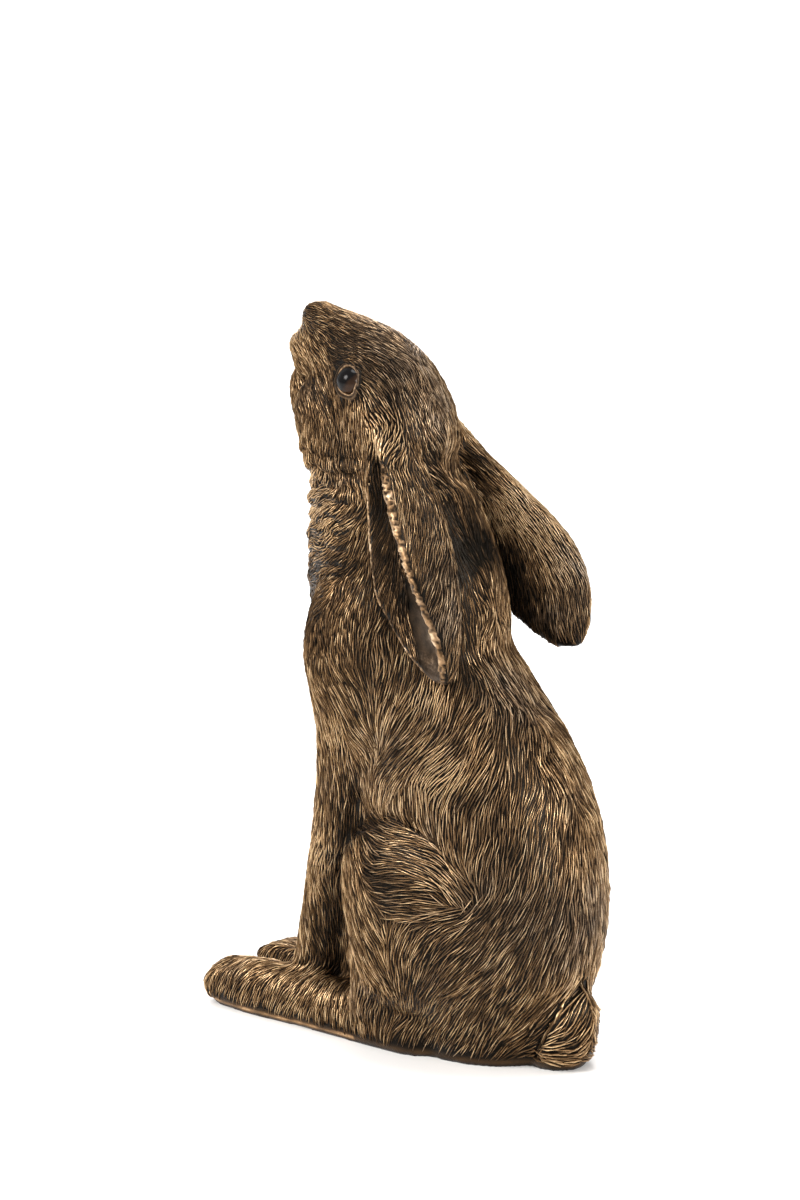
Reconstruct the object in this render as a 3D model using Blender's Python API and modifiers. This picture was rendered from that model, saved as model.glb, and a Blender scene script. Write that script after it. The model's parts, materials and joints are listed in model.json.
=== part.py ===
"""A hare sitting upright with its nose raised to the sky: one cast body with two glass eyes.

The figure is drawn 100.9 units tall; its places and sizes are in these units, from the ground.
The hare faces -Y, and its left side is +X.
"""

import math

import bmesh
import bpy
import numpy as np
from mathutils import Matrix, Vector
from mathutils.bvhtree import BVHTree

FIGURE_HEIGHT = 0.300
EYE_DIAMETER = 0.0135
EYE_PROUD = 0.0036
EYE_CLEARANCE = 0.0003
LID_THICKNESS = 0.0017
EAR_THICKNESS = 0.0038

DRAWN_HEIGHT = 100.9
UNIT = FIGURE_HEIGHT / DRAWN_HEIGHT
VOXEL = 0.5 * UNIT
BODY_TRIANGLES = 8200
TRUNK_SOFTENING = 14
LEG_SOFTENING = 4
LAST_SOFTENING = 1
RING_SIDES = 32
RING_STEPS = 28
END_CAP = 0.12
THIN_SIDES = 12
LID_SEGMENTS = 28
EYE_SEGMENTS = 20
EAR_ROWS, EAR_COLUMNS = 32, 12

# Each form runs along stations: x, y, z of the middle, half the width, half the depth.
TORSO = (
    (0, 8.0, -8, 8.6, 11.6),
    (0, 7.2, 4, 10.8, 12.4),
    (0, 8.6, 18, 13.2, 16.4),
    (0, 6.2, 32, 13.2, 17.4),
    (0, -2.0, 46, 12.4, 14.8),
    (0, -8.4, 57, 10.8, 12.8),
    (0, -9.8, 67, 9.6, 13.0),
    (0, -11.0, 77, 8.6, 11.5),
    (0, -12.0, 87, 7.2, 9.0),
)
NAPE = (
    (0, -5.4, 78.0, 6.4, 6.8),
    (0, -3.0, 71.0, 7.2, 8.0),
    (0, -0.6, 63.0, 8.0, 8.8),
    (0, -0.4, 54.0, 8.8, 9.0),
)
BREAST = (
    (0, -16.2, 64.0, 5.6, 5.6),
    (0, -15.4, 54.0, 6.6, 6.4),
    (0, -10.8, 41.0, 5.4, 4.6),
)
HEAD = (
    (0, -25.0, 97.4, 2.2, 2.6),
    (0, -22.6, 96.2, 4.0, 4.6),
    (0, -18.8, 94.2, 5.4, 6.2),
    (0, -14.5, 91.5, 7.0, 7.8),
    (0, -10.7, 88.3, 7.9, 8.0),
    (0, -7.7, 84.2, 7.7, 7.2),
    (0, -6.2, 79.0, 7.0, 6.8),
)
NOSE = (
    (0, -25.9, 98.9, 2.0, 1.7),
    (0, -22.8, 99.2, 2.3, 1.9),
    (0, -19.6, 97.8, 2.4, 2.2),
)
LIP = (
    (1.2, -25.3, 97.0, 1.7, 2.3),
    (1.7, -24.2, 95.2, 2.2, 3.2),
    (2.3, -21.8, 92.8, 2.2, 3.6),
)
CHIN = (
    (0, -26.4, 91.8, 1.8, 1.5),
    (0, -25.2, 88.8, 3.2, 2.9),
    (0, -22.2, 84.8, 4.2, 4.6),
)
CHEEK = (
    (3.8, -21.0, 91.2, 2.4, 3.0),
    (4.4, -18.6, 87.6, 3.6, 5.2),
    (4.4, -15.6, 82.0, 4.0, 6.2),
    (4.0, -14.0, 77.0, 3.4, 5.0),
)
SHOULDER = (
    (7.6, -9.4, 67.0, 3.2, 6.6),
    (8.6, -9.2, 55.0, 4.6, 8.9),
    (8.2, -9.6, 44.0, 4.6, 6.4),
    (7.2, -12.0, 33.0, 4.0, 4.6),
    (6.6, -13.4, 24.0, 3.4, 3.8),
)
FORELEG = (
    (7.2, -10.4, 44.0, 4.2, 5.8),
    (6.4, -13.8, 30.0, 3.8, 4.3),
    (5.2, -18.0, 15.0, 3.3, 3.6),
    (4.6, -21.2, 2.0, 3.1, 3.4),
)
FOREPAW = (
    (4.5, -19.0, 1.4, 2.9, 2.2),
    (4.3, -22.6, 0.8, 2.9, 2.3),
    (4.2, -25.8, 0.4, 2.4, 1.7),
)
BELLY = (
    (0, -8.0, 40.0, 7.0, 6.0),
    (0, -9.0, 26.0, 6.6, 6.0),
    (0, -10.8, 12.0, 6.0, 7.0),
    (0, -11.6, 1.0, 5.6, 7.6),
)
THIGH = (
    (10.0, -6.2, 20.2, 3.8, 9.2),
    (11.1, -2.6, 20.8, 5.6, 12.0),
    (11.3, 2.4, 19.6, 6.3, 13.6),
    (10.2, 8.0, 16.4, 5.8, 12.2),
    (7.6, 13.8, 12.0, 4.0, 9.2),
)
SHIN = (
    (10.0, -4.6, 22.0, 3.6, 3.6),
    (9.8, -4.2, 13.0, 3.8, 4.2),
    (9.4, -3.6, 3.0, 3.6, 5.0),
)
HIND_FOOT = (
    (8.6, 6.0, 2.6, 3.6, 4.4),
    (8.4, -6.0, 2.8, 3.8, 4.6),
    (8.2, -18.0, 2.6, 3.7, 4.4),
    (8.2, -28.0, 2.7, 4.0, 4.5),
    (8.2, -37.2, 2.5, 3.1, 3.4),
)
TOE_GAPS = (-2.6, -0.9, 0.9, 2.6)
TOE = (
    (8.2, -27.6, 5.0, 0.9, 1.3),
    (8.2, -32.4, 3.8, 1.2, 1.9),
    (8.2, -35.7, 2.0, 1.1, 1.9),
)
RIGHT_FOOT_LEAD = 4.6
RIGHT_FOOT_FLATTER = 0.64
TAIL = (
    (0, 16.8, 1.0, 4.0, 4.8),
    (0, 20.0, 3.6, 4.8, 5.0),
    (0, 21.8, 7.8, 3.8, 3.6),
    (0, 22.2, 11.0, 2.0, 1.8),
)
TAIL_LOCKS = (-4.0, -2.0, 0.0, 2.0, 4.0)
TAIL_LOCK_WRAP = 0.55
TAIL_LOCK = (
    (0.5, 18.6, 0.4, 0.9, 1.5),
    (1.0, 22.4, 2.6, 1.1, 1.6),
    (0.9, 24.6, 7.2, 1.0, 1.4),
    (0.4, 23.4, 11.8, 0.5, 0.7),
)
RUFF_FOLDS = 10
RUFF_SWAY = 0.3
RUFF_FRONT = (
    (0, -23.2, 84.0),
    (0, -21.9, 78.0),
    (0, -21.7, 71.0),
    (0, -22.0, 64.0),
    (0, -21.8, 57.0),
)
RUFF_FOLD = (
    (-7.6, 6.4, 2.4, 0.5, 0.8),
    (-4.4, 1.9, 0.9, 0.9, 1.4),
    (0, 0, 0, 1.0, 1.7),
    (4.4, 1.9, 0.9, 0.9, 1.4),
    (7.6, 6.4, 2.4, 0.5, 0.8),
)

EYE_Y, EYE_Z = -12.2, 92.4

# The ear hangs between three lines from root to tip: its front rim, its fold and its outer rim.
EAR_FRONT_RIM = (
    (7.0, -8.8, 85.0),
    (8.4, -7.6, 80.0),
    (9.0, -6.6, 74.5),
    (9.8, -5.4, 68.5),
    (10.8, -3.0, 63.2),
    (12.2, 3.0, 57.6),
    (13.4, 8.4, 54.6),
)
EAR_FOLD = (
    (4.6, -4.4, 86.0),
    (6.2, 1.0, 81.0),
    (8.9, 6.2, 75.8),
    (11.9, 10.7, 70.2),
    (13.5, 12.7, 64.8),
    (14.0, 12.8, 59.2),
    (13.9, 11.2, 54.8),
)
EAR_OUTER_RIM = (
    (7.4, -6.6, 85.5),
    (9.8, -3.2, 80.0),
    (12.4, 0.6, 75.4),
    (14.4, 4.6, 70.5),
    (15.2, 8.2, 65.2),
    (15.0, 10.8, 60.0),
    (14.1, 10.8, 55.6),
)
EAR_INNER_BULGE = 1.5
EAR_OUTER_BULGE = 1.6
EAR_OPEN_WIDTH = 10.0
EAR_FOLD_SHARPNESS = 1.2

BRONZE = (0.155, 0.105, 0.06)
GLASS = (0.012, 0.008, 0.006)


def collection(name, hidden=False):
    made = bpy.data.collections.new(name)
    bpy.context.scene.collection.children.link(made)
    made.hide_render = hidden
    return made


def smooth_path(points, steps):
    """Rows of a Catmull-Rom curve through the rows of points."""
    rows = np.array(points, float)
    ends = np.vstack([2 * rows[0] - rows[1], rows, 2 * rows[-1] - rows[-2]])
    made = []
    for step in range(steps + 1):
        place = step / steps * (len(rows) - 1)
        index = min(int(place), len(rows) - 2)
        t = place - index
        a, b, c, d = ends[index : index + 4]
        made.append(
            0.5
            * (
                2 * b
                + (c - a) * t
                + (2 * a - 5 * b + 4 * c - d) * t**2
                + (3 * b - a - 3 * c + d) * t**3
            )
        )
    return np.array(made)


def round_end(share):
    """How far a form has swollen at this share of its length, rounded at both ends."""
    near = min(share, 1 - share)
    return math.sqrt(max(0.0, 1 - max(0.0, 1 - near / END_CAP) ** 2))


def swelling(bm, stations, side=1, sides=RING_SIDES, level=(1, 0, 0)):
    """A rounded form along its stations: a sphere whose rings are laid on a smooth path.

    Its width lies along the level direction.
    """
    path = smooth_path(stations, RING_STEPS)
    middles = path[:, :3] * UNIT
    tangents = np.gradient(middles, axis=0)
    made = bmesh.ops.create_uvsphere(
        bm, u_segments=sides, v_segments=RING_STEPS, radius=1
    )
    for vert in made["verts"]:
        latitude = math.asin(max(-1.0, min(1.0, vert.co.z)))
        ring = round((latitude / math.pi + 0.5) * RING_STEPS)
        turn = math.atan2(vert.co.y, vert.co.x)
        along = Vector(tangents[ring]).normalized()
        across = Vector(level)
        across = (across - along * across.dot(along)).normalized()
        deep = along.cross(across)
        swell = round_end(ring / RING_STEPS) * UNIT
        place = Vector(middles[ring])
        place += across * (path[ring, 3] * swell * math.cos(turn))
        place += deep * (path[ring, 4] * swell * math.sin(turn))
        vert.co = (place.x * side, place.y, place.z)


def both_sides(bm, stations):
    swelling(bm, stations)
    swelling(bm, stations, side=-1)


def moved(stations, across=0.0, forward=0.0, flatter=1.0):
    """The stations of a copy set to one side, further forward towards its far end, or flatter."""
    last = len(stations) - 1
    made = []
    for index, (x, y, z, wide, deep) in enumerate(stations):
        lead = forward * index / last
        made.append((x + across, y - lead, z * flatter, wide, deep * flatter))
    return made


def hind_feet(bm):
    """The right foot reaches a little further forward than the left and lies flatter."""
    swelling(bm, HIND_FOOT)
    longer = moved(HIND_FOOT, forward=RIGHT_FOOT_LEAD, flatter=RIGHT_FOOT_FLATTER)
    swelling(bm, longer, side=-1)


def toes(bm):
    for gap in TOE_GAPS:
        swelling(bm, moved(TOE, across=gap), sides=THIN_SIDES)
        ahead = [
            (x + gap, y - RIGHT_FOOT_LEAD, z * RIGHT_FOOT_FLATTER, wide, deep)
            for x, y, z, wide, deep in TOE
        ]
        swelling(bm, ahead, side=-1, sides=THIN_SIDES)


def tail(bm):
    """A short upright tail wrapped in locks that sweep up from its root."""
    swelling(bm, TAIL)
    for across in TAIL_LOCKS:
        lock = [
            (x * across, y - abs(across) * TAIL_LOCK_WRAP, z, wide, deep)
            for x, y, z, wide, deep in TAIL_LOCK
        ]
        swelling(bm, lock, sides=THIN_SIDES)


def ruff(bm):
    """Folds of fur lying across the front of the throat."""
    front = smooth_path(RUFF_FRONT, RUFF_FOLDS)
    for fold in range(RUFF_FOLDS):
        y, z = front[fold, 1], front[fold, 2]
        sway = RUFF_SWAY * (-1) ** fold
        stations = [
            (across + sway, y + back, z + up, wide, deep)
            for across, back, up, wide, deep in RUFF_FOLD
        ]
        swelling(bm, stations, sides=THIN_SIDES, level=(0, 0, 1))


def add_object(name, bm, home):
    bmesh.ops.recalc_face_normals(bm, faces=bm.faces)
    mesh = bpy.data.meshes.new(name)
    bm.to_mesh(mesh)
    bm.free()
    obj = bpy.data.objects.new(name, mesh)
    home.objects.link(obj)
    return obj


def baked(obj):
    """The object's mesh with its modifiers applied."""
    bpy.context.view_layer.update()
    graph = bpy.context.evaluated_depsgraph_get()
    mesh = bpy.data.meshes.new_from_object(obj.evaluated_get(graph))
    obj.modifiers.clear()
    obj.data = mesh
    return obj


def melted(obj, passes):
    """The overlapping forms in one skin, with the creases between them softened."""
    remesh = obj.modifiers.new("one_skin", "REMESH")
    remesh.mode = "VOXEL"
    remesh.voxel_size = VOXEL
    soften = obj.modifiers.new("soften", "SMOOTH")
    soften.factor = 0.5
    soften.iterations = passes
    return baked(obj)


def join_mesh(bm, obj):
    bm.from_mesh(obj.data)
    bpy.data.objects.remove(obj)


def ear(bm, side):
    """A long cupped leaf, folded along its back edge, hanging from the back of the head."""
    front, fold, outer = (
        smooth_path(line, EAR_ROWS) * UNIT
        for line in (EAR_FRONT_RIM, EAR_FOLD, EAR_OUTER_RIM)
    )
    grid = []
    for row in range(EAR_ROWS + 1):
        line = []
        for column in range(-EAR_COLUMNS, EAR_COLUMNS + 1):
            turn = abs(column) / EAR_COLUMNS
            rim = front[row] if column < 0 else outer[row]
            bulge = -EAR_INNER_BULGE if column < 0 else EAR_OUTER_BULGE
            open_width = np.linalg.norm(rim - fold[row]) / (EAR_OPEN_WIDTH * UNIT)
            place = fold[row] + (rim - fold[row]) * turn**EAR_FOLD_SHARPNESS
            place[0] += bulge * UNIT * math.sin(turn * math.pi) * min(1, open_width)
            line.append(bm.verts.new((place[0] * side, place[1], place[2])))
        grid.append(line)
    for row in range(EAR_ROWS):
        for column in range(2 * EAR_COLUMNS):
            bm.faces.new(
                (
                    grid[row][column],
                    grid[row][column + 1],
                    grid[row + 1][column + 1],
                    grid[row + 1][column],
                )
            )


def ears(helpers):
    bm = bmesh.new()
    ear(bm, 1)
    ear(bm, -1)
    obj = add_object("ear_leaves", bm, helpers)
    wall = obj.modifiers.new("thickness", "SOLIDIFY")
    wall.thickness = EAR_THICKNESS
    wall.offset = 0
    return baked(obj)


def eye_sockets(skin):
    """The middle of each eye and the way it looks out: square to the skin of the head there."""
    tree = BVHTree.FromPolygons(
        [vert.co for vert in skin.data.vertices],
        [face.vertices for face in skin.data.polygons],
    )
    sockets = []
    for side in (1, -1):
        start = Vector((side * FIGURE_HEIGHT, EYE_Y * UNIT, EYE_Z * UNIT))
        hit, outward = tree.ray_cast(start, Vector((-side, 0, 0)))[:2]
        sockets.append((hit + outward * (EYE_PROUD - EYE_DIAMETER / 2), outward))
    return sockets


def eye_lids(bm, sockets):
    """A raised rim round each eye."""
    rise = EYE_DIAMETER / 2 - EYE_PROUD
    ring = math.sqrt((EYE_DIAMETER / 2) ** 2 - rise**2)
    for centre, outward in sockets:
        bpy.ops.mesh.primitive_torus_add(
            location=centre + outward * rise,
            rotation=outward.to_track_quat("Z", "Y").to_euler(),
            major_segments=LID_SEGMENTS,
            minor_segments=THIN_SIDES,
            major_radius=ring + LID_THICKNESS / 2,
            minor_radius=LID_THICKNESS,
        )
        rim = bpy.context.object
        rim.data.transform(rim.matrix_basis)
        join_mesh(bm, rim)


def body_skin(helpers):
    bm = bmesh.new()
    for form in (TORSO, NAPE, BREAST, HEAD, NOSE, CHIN, BELLY):
        swelling(bm, form)
    for form in (CHEEK, LIP, SHOULDER, FORELEG):
        both_sides(bm, form)
    trunk = melted(add_object("trunk", bm, helpers), TRUNK_SOFTENING)

    bm = bmesh.new()
    hind_feet(bm)
    ruff(bm)
    for form in (THIGH, SHIN, FOREPAW):
        both_sides(bm, form)
    join_mesh(bm, trunk)
    with_legs = melted(add_object("with_legs", bm, helpers), LEG_SOFTENING)

    sockets = eye_sockets(with_legs)
    bm = bmesh.new()
    tail(bm)
    toes(bm)
    eye_lids(bm, sockets)
    join_mesh(bm, with_legs)
    join_mesh(bm, ears(helpers))
    return melted(add_object("hare_body", bm, helpers), LAST_SOFTENING), sockets


def thinned(obj):
    """Fewer faces where the skin is even."""
    thin = obj.modifiers.new("thin", "DECIMATE")
    triangles = sum(len(face.vertices) - 2 for face in obj.data.polygons)
    thin.ratio = BODY_TRIANGLES / triangles
    return baked(obj)


def cut(obj, cutter, name):
    gone = obj.modifiers.new(name, "BOOLEAN")
    gone.operation = "DIFFERENCE"
    gone.object = cutter


def ball(name, centre, radius, home):
    bm = bmesh.new()
    bmesh.ops.create_uvsphere(
        bm,
        u_segments=EYE_SEGMENTS,
        v_segments=EYE_SEGMENTS * 2 // 3,
        radius=radius,
        matrix=Matrix.Translation(centre) @ Matrix.Rotation(math.pi / 2, 4, "Y"),
    )
    return add_object(name, bm, home)


def ground_cutter(home):
    bm = bmesh.new()
    size = FIGURE_HEIGHT * 2
    bmesh.ops.create_cube(
        bm, size=size, matrix=Matrix.Translation((0, 0, -size / 2))
    )
    return add_object("below_ground", bm, home)


def finish(name, colour, roughness, metallic):
    material = bpy.data.materials.new(name)
    material.use_nodes = True
    shader = material.node_tree.nodes["Principled BSDF"]
    shader.inputs["Base Color"].default_value = (*colour, 1)
    shader.inputs["Roughness"].default_value = roughness
    shader.inputs["Metallic"].default_value = metallic
    return material


def centre_on_footprint(objects):
    """Moves the origin to the middle of the figure's footprint, on the ground."""
    body = objects[0]
    spots = np.array([vert.co for vert in body.data.vertices])
    middle = (spots.min(axis=0) + spots.max(axis=0)) / 2
    for obj in objects:
        obj.data.transform(Matrix.Translation((-middle[0], -middle[1], 0)))


def main():
    for old in list(bpy.data.objects):
        bpy.data.objects.remove(old)
    parts = collection("hare_sculpture")
    cutters = collection("cutters", hidden=True)

    skin, sockets = body_skin(cutters)
    body = thinned(skin)
    cut(body, ground_cutter(cutters), "flat_underside")
    eyes = []
    for word, (centre, _) in zip(("left", "right"), sockets):
        pocket = EYE_DIAMETER / 2 + EYE_CLEARANCE
        cut(body, ball("pocket_" + word, centre, pocket, cutters), "pocket_" + word)
        eyes.append(ball(word + "_eye", centre, EYE_DIAMETER / 2, parts))
    baked(body)
    cutters.objects.unlink(body)
    parts.objects.link(body)
    for obj in cutters.objects:
        obj.hide_render = True
        obj.display_type = "WIRE"

    centre_on_footprint([body, *eyes])
    bronze = finish("aged_bronze", BRONZE, 0.45, 0.6)
    glass = finish("dark_glass", GLASS, 0.05, 0.0)
    body.data.materials.append(bronze)
    for eye in eyes:
        eye.data.materials.append(glass)
        eye.data.shade_smooth()
    body.data.shade_smooth()


main()
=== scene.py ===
import itertools
import json
import math

import bpy
import numpy as np
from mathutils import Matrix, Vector, noise
from mathutils.bvhtree import BVHTree
from mathutils.kdtree import KDTree

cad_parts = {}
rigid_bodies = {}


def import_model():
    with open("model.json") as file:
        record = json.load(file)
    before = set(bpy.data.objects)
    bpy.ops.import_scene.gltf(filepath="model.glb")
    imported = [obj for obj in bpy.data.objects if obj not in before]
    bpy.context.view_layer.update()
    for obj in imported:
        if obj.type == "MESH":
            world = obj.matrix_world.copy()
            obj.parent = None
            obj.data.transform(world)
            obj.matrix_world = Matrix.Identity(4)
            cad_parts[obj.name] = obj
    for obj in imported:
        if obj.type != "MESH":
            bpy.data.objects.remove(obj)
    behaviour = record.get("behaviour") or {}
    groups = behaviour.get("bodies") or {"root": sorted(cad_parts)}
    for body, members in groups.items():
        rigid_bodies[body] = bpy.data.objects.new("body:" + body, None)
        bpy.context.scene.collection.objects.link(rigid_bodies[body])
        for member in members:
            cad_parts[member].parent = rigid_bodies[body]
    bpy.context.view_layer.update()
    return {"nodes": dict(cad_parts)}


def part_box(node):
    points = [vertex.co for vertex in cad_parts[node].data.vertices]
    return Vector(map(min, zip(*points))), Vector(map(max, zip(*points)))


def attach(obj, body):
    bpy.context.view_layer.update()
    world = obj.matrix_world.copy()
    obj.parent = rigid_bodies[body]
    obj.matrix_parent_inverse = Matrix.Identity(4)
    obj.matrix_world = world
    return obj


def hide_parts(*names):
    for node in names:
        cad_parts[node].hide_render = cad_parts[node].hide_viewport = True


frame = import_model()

mm = 0.001
random = np.random.default_rng(7)


def pickNone():
    bpy.ops.object.select_all(action="DESELECT")


def handIn(piece, slotName, *nodes):
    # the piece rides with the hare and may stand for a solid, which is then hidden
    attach(piece, "root")
    if nodes:
        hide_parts(*nodes)
    return piece


def applyAll(piece):
    pickNone()
    piece.select_set(True)
    bpy.context.view_layer.objects.active = piece
    for modifier in list(piece.modifiers):
        bpy.ops.object.modifier_apply(modifier=modifier.name)
    bpy.ops.object.transform_apply(location=True, rotation=True, scale=True)


def pointsOf(piece):
    flat = np.zeros(len(piece.data.vertices) * 3)
    piece.data.vertices.foreach_get("co", flat)
    return flat.reshape(-1, 3)


def normalsOf(piece):
    flat = np.zeros(len(piece.data.vertices) * 3)
    piece.data.vertices.foreach_get("normal", flat)
    return flat.reshape(-1, 3)


def unit(rows):
    return rows / np.maximum(np.linalg.norm(rows, axis=-1, keepdims=True), 1e-9)


def setTone(piece, name, values):
    tone = piece.data.attributes.new(name, "FLOAT", "POINT")
    tone.data.foreach_set("value", np.asarray(values, dtype=np.float32))


# finishes
bronzeLook = {
    "gold": ((0.007, 0.005, 0.003), (0.078, 0.043, 0.019), (0.37, 0.215, 0.1), (0.98, 0.70, 0.39)),
    "worn": ((0.007, 0.005, 0.004), (0.064, 0.045, 0.031), (0.26, 0.19, 0.132), (0.62, 0.48, 0.35)),
    "stops": (0.12, 0.5, 0.79, 1.0),
    "metal": 0.66,
    "gloss": 0.16,
    "roughness": 0.36,
    "roughSpread": 0.3,
    "cloudScale": 60,
    "mottling": 0.5,
    "grainScale": 1100,
    "graininess": 0.4,
    "wearShare": 1.8,
    "grainDepth": 0.4 * mm,
}


def newMaterial(name):
    material = bpy.data.materials.new(name)
    material.use_nodes = True
    return material, material.node_tree.nodes, material.node_tree.links


def noiseAt(nodes, links, coordinates, scale, detail):
    texture = nodes.new("ShaderNodeTexNoise")
    texture.inputs["Scale"].default_value = scale
    texture.inputs["Detail"].default_value = detail
    texture.inputs["Roughness"].default_value = 0.55
    links.new(coordinates, texture.inputs["Vector"])
    return texture.outputs["Fac"]


def mathNode(nodes, links, operation, first, second, clamp=False):
    node = nodes.new("ShaderNodeMath")
    node.operation = operation
    node.use_clamp = clamp
    for index, value in enumerate((first, second)):
        if isinstance(value, (int, float)):
            node.inputs[index].default_value = value
        else:
            links.new(value, node.inputs[index])
    return node.outputs[0]


def roundZero(nodes, links, value, width):
    # a noise spread evenly below and above zero
    wider = mathNode(nodes, links, "MULTIPLY", value, width)
    return mathNode(nodes, links, "SUBTRACT", wider, width / 2)


def patina(nodes, links, height, colours):
    # from the hollows up to the rubbed ridges
    ramp = nodes.new("ShaderNodeValToRGB")
    stops = ramp.color_ramp.elements
    hollow, *between, crest = bronzeLook["stops"]
    stops[0].position, stops[0].color = hollow, (*colours[0], 1)
    stops[1].position, stops[1].color = crest, (*colours[3], 1)
    for position, colour in zip(between, colours[1:3]):
        stops.new(position).color = (*colour, 1)
    links.new(height, ramp.inputs["Fac"])
    return ramp.outputs["Color"]


def bronzeFinish(name, bumpStrength):
    # aged bronze: dark in the hollows, rubbed to gold on the ridges, grey where it is worn
    material, nodes, links = newMaterial(name)
    shader = nodes["Principled BSDF"]
    place = nodes.new("ShaderNodeTexCoord").outputs["Object"]
    # the ridge tone: patina from hollow to rubbed crest, and in the fur also painted light and shade
    ridge = nodes.new("ShaderNodeAttribute")
    ridge.attribute_name = "ridge"
    wear = nodes.new("ShaderNodeAttribute")
    wear.attribute_name = "wear"
    clouds = noiseAt(nodes, links, place, bronzeLook["cloudScale"], 4)
    grain = noiseAt(nodes, links, place, bronzeLook["grainScale"], 3)

    mottled = roundZero(nodes, links, clouds, bronzeLook["mottling"])
    grainy = roundZero(nodes, links, grain, bronzeLook["graininess"])
    spread = mathNode(nodes, links, "ADD", mottled, grainy)
    spread = mathNode(nodes, links, "ADD", spread, 1.0)
    height = mathNode(nodes, links, "MULTIPLY", ridge.outputs["Fac"], spread, clamp=True)

    mix = nodes.new("ShaderNodeMix")
    mix.data_type = "RGBA"
    share = mathNode(nodes, links, "MULTIPLY", wear.outputs["Fac"], clouds)
    share = mathNode(nodes, links, "MULTIPLY", share, bronzeLook["wearShare"], clamp=True)
    links.new(share, mix.inputs["Factor"])
    links.new(patina(nodes, links, height, bronzeLook["gold"]), mix.inputs[6])
    links.new(patina(nodes, links, height, bronzeLook["worn"]), mix.inputs[7])
    links.new(mix.outputs[2], shader.inputs["Base Color"])

    rough = roundZero(nodes, links, grain, bronzeLook["roughSpread"])
    rough = mathNode(nodes, links, "ADD", rough, bronzeLook["roughness"])
    links.new(rough, shader.inputs["Roughness"])
    shader.inputs["Metallic"].default_value = bronzeLook["metal"]
    shader.inputs["Specular IOR Level"].default_value = bronzeLook["gloss"]

    bump = nodes.new("ShaderNodeBump")
    bump.inputs["Strength"].default_value = bumpStrength
    bump.inputs["Distance"].default_value = bronzeLook["grainDepth"]
    links.new(grain, bump.inputs["Height"])
    links.new(bump.outputs["Normal"], shader.inputs["Normal"])
    return material


castBronze = bronzeFinish("cast bronze", 0.5)
furBronze = bronzeFinish("fur bronze", 0.3)

# the body: the cast form, refined from its solid, with creases and throat folds worked in;
# each crease is a line in mm on the left side, repeated on the right, or on the middle
bodyShape = {"voxel": 1.4 * mm, "softening": 4, "flatBelow": 0.45 * mm}
creases = {
    "haunch": {"wide": 2.2, "deep": 1.7, "mirror": True, "line": ((36, -4, 80), (37, 6, 93),
        (38, 22, 101), (39, 40, 98), (40, 54, 88), (40, 64, 74))},
    "tail": {"wide": 2.0, "deep": 1.8, "mirror": True, "line": ((17, 78, 1), (15, 81, 8),
        (12, 86, 18), (8, 91, 28), (3, 95, 35), (0, 96, 36))},
    "elbow": {"wide": 2.6, "deep": 1.2, "mirror": True, "line": ((34, 2, 108), (33, -2, 94),
        (31, -8, 76), (29, -12, 56))},
    "mouth": {"wide": 0.8, "deep": 0.8, "mirror": True, "line": ((0, -58, 283), (5, -55, 281),
        (9, -50, 278), (12, -45, 276))},
    "lip cleft": {"wide": 0.7, "deep": 0.8, "mirror": False, "line": ((0, -57, 296), (0, -58, 290),
        (0, -58, 284))},
    "nostril": {"wide": 0.8, "deep": 1.0, "mirror": True, "line": ((2.0, -57, 295), (3.4, -55.5, 296.5),
        (4.4, -53.5, 297))},
}
throatFolds = {
    "spacing": 6.8, "lift": 1.9 * mm, "lipAt": 0.8, "sunk": 0.4, "sway": 3.0, "swaySize": 9 * mm,
    "top": 243.0, "bottom": 186.0, "back": 2.0, "rise": 7.0, "spread": 22.6,
}


def smoothLine(points, steps):
    # a smooth line through the points
    rows = np.array(points, float)
    ends = np.vstack([2 * rows[0] - rows[1], rows, 2 * rows[-1] - rows[-2]])
    made = []
    for place in np.linspace(0, len(rows) - 1, steps):
        index = min(int(place), len(rows) - 2)
        t = place - index
        a, b, c, d = ends[index : index + 4]
        made.append(b + 0.5 * t * (c - a + t * (2 * a - 5 * b + 4 * c - d + t * (3 * (b - c) + d - a))))
    return np.array(made)


def softNoise(places, size, shift=0.0):
    return np.array([noise.noise(Vector(place / size) + Vector((shift, 0, 0))) for place in places])


def surfaceTree(piece):
    faces = [tuple(face.vertices) for face in piece.data.polygons]
    return BVHTree.FromPolygons(pointsOf(piece).tolist(), faces)


def onSkin(tree, places):
    spots, facing = [], []
    for place in places:
        hit, away = tree.find_nearest(place)[:2]
        spots.append(hit)
        facing.append(away)
    return np.array(spots), np.array(facing)


def creaseLines(tree):
    made = []
    for crease in creases.values():
        for side in (1, -1) if crease["mirror"] else (1,):
            line = smoothLine(crease["line"], 40) * mm * (side, 1, 1)
            made.append((onSkin(tree, line)[0], crease["wide"] * mm, crease["deep"] * mm))
    return made


def creaseShare(places, line, wide):
    # 1 on the line, fading to its sides and its ends
    share = np.zeros(len(places))
    near = ((places > line.min(axis=0) - 3 * wide) & (places < line.max(axis=0) + 3 * wide)).all(axis=1)
    gap = np.linalg.norm(places[near][:, None] - line[None], axis=2)
    nearest = gap.argmin(axis=1)
    fade = np.clip((np.minimum(nearest, len(line) - 1 - nearest) + 1) / 6, 0, 1)
    share[near] = np.exp(-((gap.min(axis=1) / wide) ** 2)) * fade
    return share


def throatWave(spots):
    # how far each place is down its fold, 1 at the lip, and how much the folds show there
    x, y, z = (spots / mm).T
    level = z - throatFolds["rise"] * (x / throatFolds["spread"]) ** 2
    level += throatFolds["sway"] * softNoise(spots, throatFolds["swaySize"])
    share = ((throatFolds["top"] - level) / throatFolds["spacing"]) % 1.0
    lipAt = throatFolds["lipAt"]
    lip = np.where(share < lipAt, share / lipAt, (1 - share) / (1 - lipAt))
    shown = np.clip((throatFolds["top"] + 8 - z) / 9, 0, 1) * np.clip((z - throatFolds["bottom"]) / 14, 0, 1)
    return lip, shown * np.clip((throatFolds["back"] - y) / 14, 0, 1)


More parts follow.
